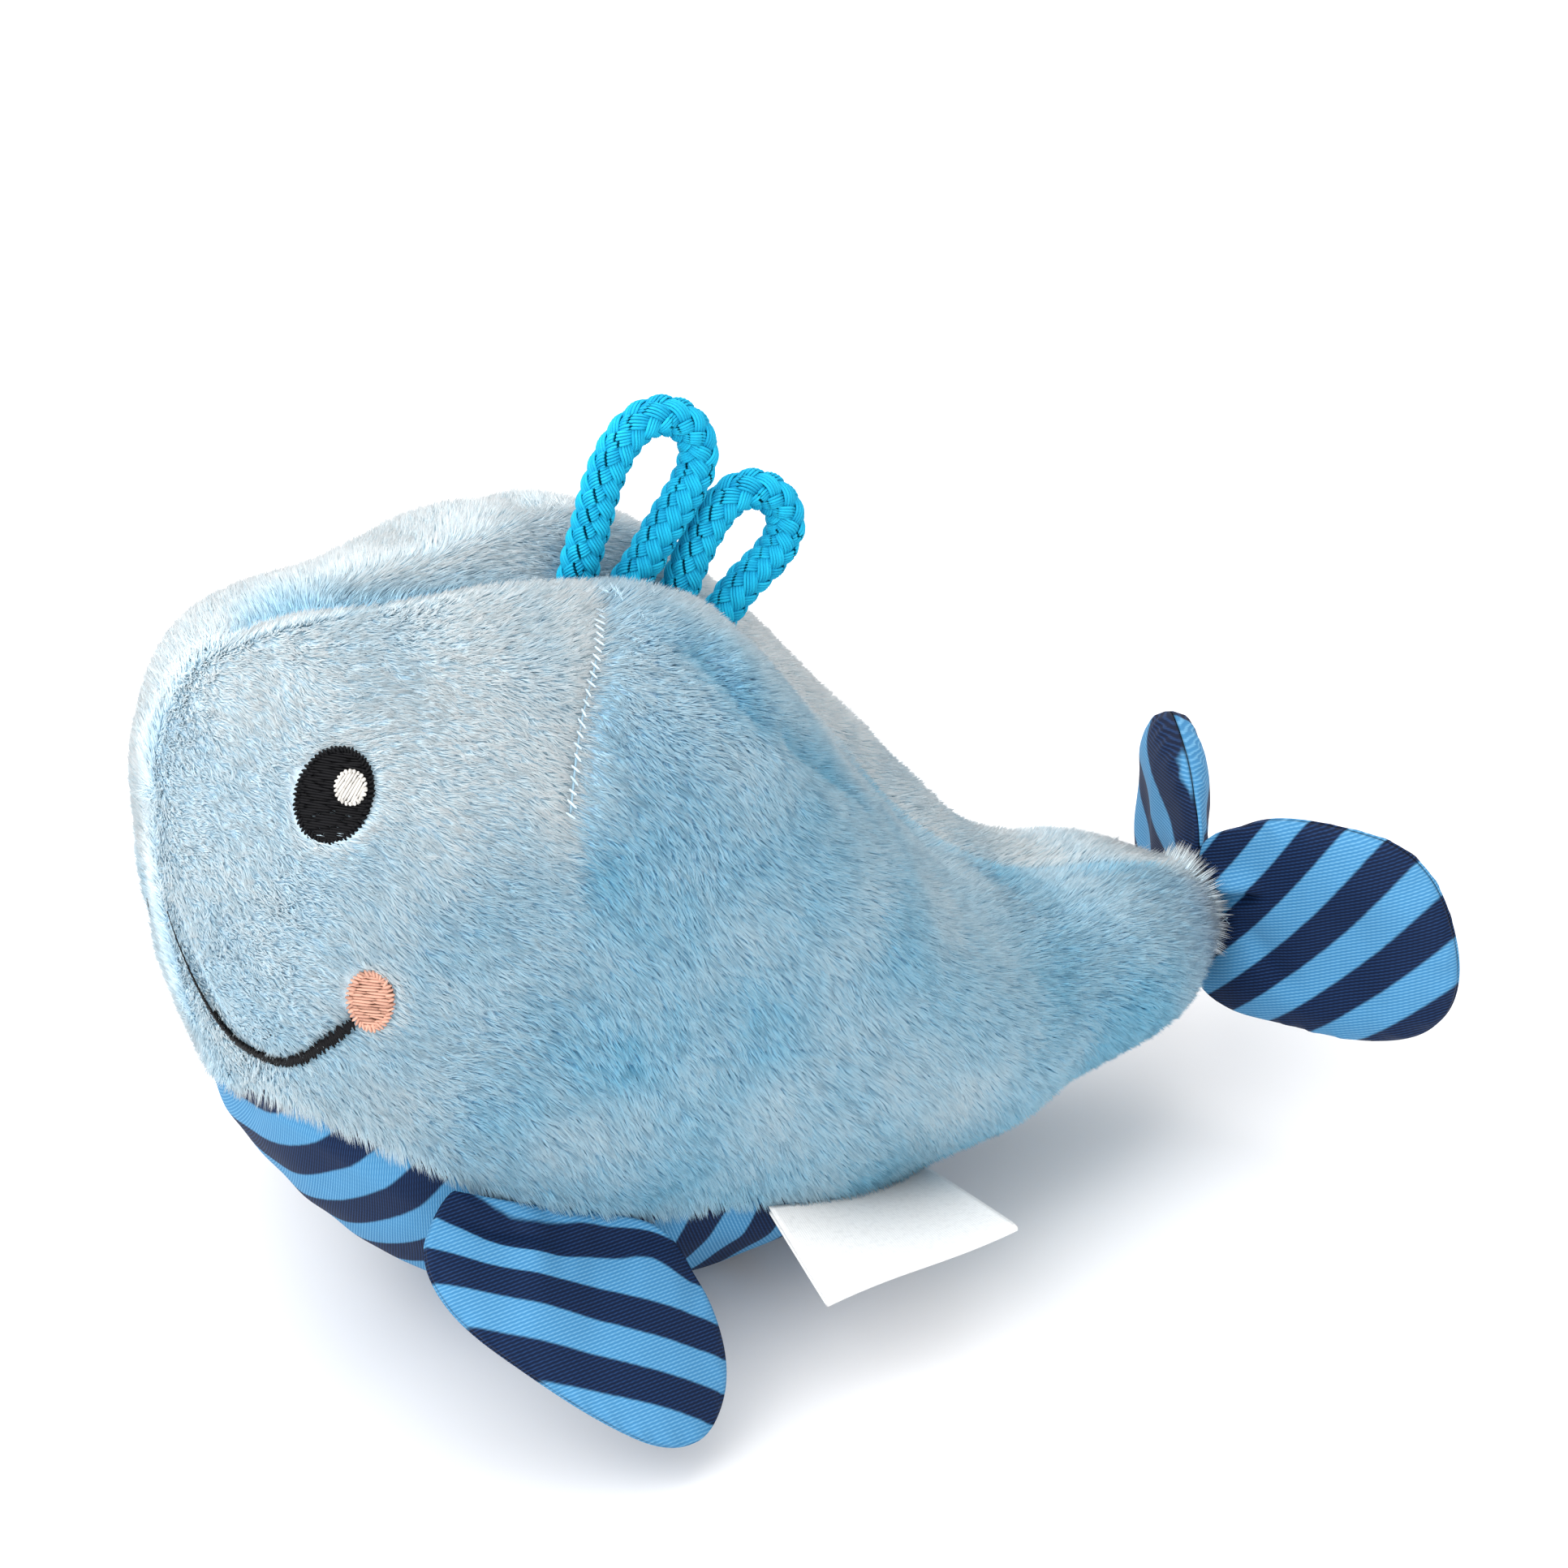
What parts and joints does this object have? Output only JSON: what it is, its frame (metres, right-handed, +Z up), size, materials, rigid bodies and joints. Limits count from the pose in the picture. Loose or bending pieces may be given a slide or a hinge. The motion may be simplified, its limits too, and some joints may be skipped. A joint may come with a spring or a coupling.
{
  "type": "soft rattle",
  "caption": "Soft plush whale rattle with a striped belly, padded flippers and flukes, a spout of braided cord loops and a rattle capsule inside.",
  "frame": {"origin": "on the belly's rest flat, under the middle of the whole whale's box", "axes": "+X towards the tail, -Y the whale's left side, +Z up"},
  "size_m": [0.1602, 0.1052, 0.1129],
  "materials": {
    "plush": "short soft pile",
    "striped_twill": "navy and sky blue stripes on cotton twill",
    "wadding": "loose polyester fibre",
    "capsule": "satin",
    "ball": "polished",
    "cord": "braided",
    "ribbon": "satin",
    "black_thread": "satin stitch",
    "white_thread": "satin stitch",
    "pink_thread": "satin stitch",
    "blue_thread": "whip stitch"
  },
  "bodies": {
    "body": {"plush_side_left": "plush", "plush_side_right": "plush", "belly_panel": "striped_twill", "stuffing_left": "wadding", "stuffing_right": "wadding", "rattle_capsule_left": "capsule", "rattle_capsule_right": "capsule", "eye_left": "black_thread", "eye_right": "black_thread", "eye_shine_left": "white_thread", "eye_shine_right": "white_thread", "cheek_left": "pink_thread", "cheek_right": "pink_thread", "mouth_left": "black_thread", "mouth_right": "black_thread", "dart_thread_left": "blue_thread", "dart_thread_right": "blue_thread"},
    "flipper_left": {"flipper_outer_cloth_left": "striped_twill", "flipper_inner_cloth_left": "striped_twill", "flipper_wadding_left": "wadding"},
    "flipper_right": {"flipper_outer_cloth_right": "striped_twill", "flipper_inner_cloth_right": "striped_twill", "flipper_wadding_right": "wadding"},
    "fluke_left": {"fluke_outer_cloth_left": "striped_twill", "fluke_inner_cloth_left": "striped_twill", "fluke_wadding_left": "wadding"},
    "fluke_right": {"fluke_outer_cloth_right": "striped_twill", "fluke_inner_cloth_right": "striped_twill", "fluke_wadding_right": "wadding"},
    "label": {"care_label": "ribbon"},
    "spout_front": {"spout_loop_front": "cord"},
    "spout_rear": {"spout_loop_rear": "cord"},
    "ball_1": {"rattle_ball_1": "ball"},
    "ball_2": {"rattle_ball_2": "ball"},
    "ball_3": {"rattle_ball_3": "ball"},
    "ball_4": {"rattle_ball_4": "ball"},
    "ball_5": {"rattle_ball_5": "ball"}
  },
  "joints": [
    {"name": "flipper_left_bend", "type": "hinge", "parent": "body", "child": "flipper_left", "pos_m": [-0.04507, -0.03397, 0.02794], "axis": [-0.9242, 0.0898, 0.3711], "range_deg": [-25, 60], "stiffness_Nm_per_rad": 0.01},
    {"name": "flipper_right_bend", "type": "hinge", "parent": "body", "child": "flipper_right", "pos_m": [-0.04507, 0.03397, 0.02794], "axis": [0.9242, 0.0898, -0.3711], "range_deg": [-25, 60], "stiffness_Nm_per_rad": 0.01},
    {"name": "fluke_left_sway", "type": "hinge", "parent": "body", "child": "fluke_left", "pos_m": [0.06179, -0.0024, 0.02952], "axis": [0, 0, 1], "range_deg": [-20, 35], "stiffness_Nm_per_rad": 0.01},
    {"name": "fluke_right_sway", "type": "hinge", "parent": "body", "child": "fluke_right", "pos_m": [0.06211, 0.0024, 0.02952], "axis": [0, 0, -1], "range_deg": [-20, 35], "stiffness_Nm_per_rad": 0.01},
    {"name": "label_flap", "type": "hinge", "parent": "body", "child": "label", "pos_m": [-0.00198, -0.02491, 0.01577], "axis": [-0.8672, -0.4164, 0.2732], "range_deg": [-45, 20], "stiffness_Nm_per_rad": 0.0004},
    {"name": "spout_front_lean", "type": "hinge", "parent": "body", "child": "spout_front", "pos_m": [-0.02255, 0, 0.09152], "axis": [1, 0, 0], "range_deg": [-15, 15], "stiffness_Nm_per_rad": 0.003},
    {"name": "spout_rear_lean", "type": "hinge", "parent": "body", "child": "spout_rear", "pos_m": [-0.01005, 0, 0.08702], "axis": [1, 0, 0], "range_deg": [-25, 25], "stiffness_Nm_per_rad": 0.003},
    {"name": "ball_1_roll", "type": "slide", "parent": "body", "child": "ball_1", "axis": [0, 1, 0], "range_m": [-0.004, 0.013]},
    {"name": "ball_2_roll", "type": "slide", "parent": "body", "child": "ball_2", "axis": [0, 1, 0], "range_m": [-0.012, 0.005]},
    {"name": "ball_3_roll", "type": "slide", "parent": "body", "child": "ball_3", "axis": [0, 1, 0], "range_m": [-0.009, 0.008]},
    {"name": "ball_4_roll", "type": "slide", "parent": "body", "child": "ball_4", "axis": [0, 1, 0], "range_m": [-0.006, 0.011]},
    {"name": "ball_5_roll", "type": "slide", "parent": "body", "child": "ball_5", "axis": [0, 1, 0], "range_m": [-0.0135, 0.0035]}
  ]
}
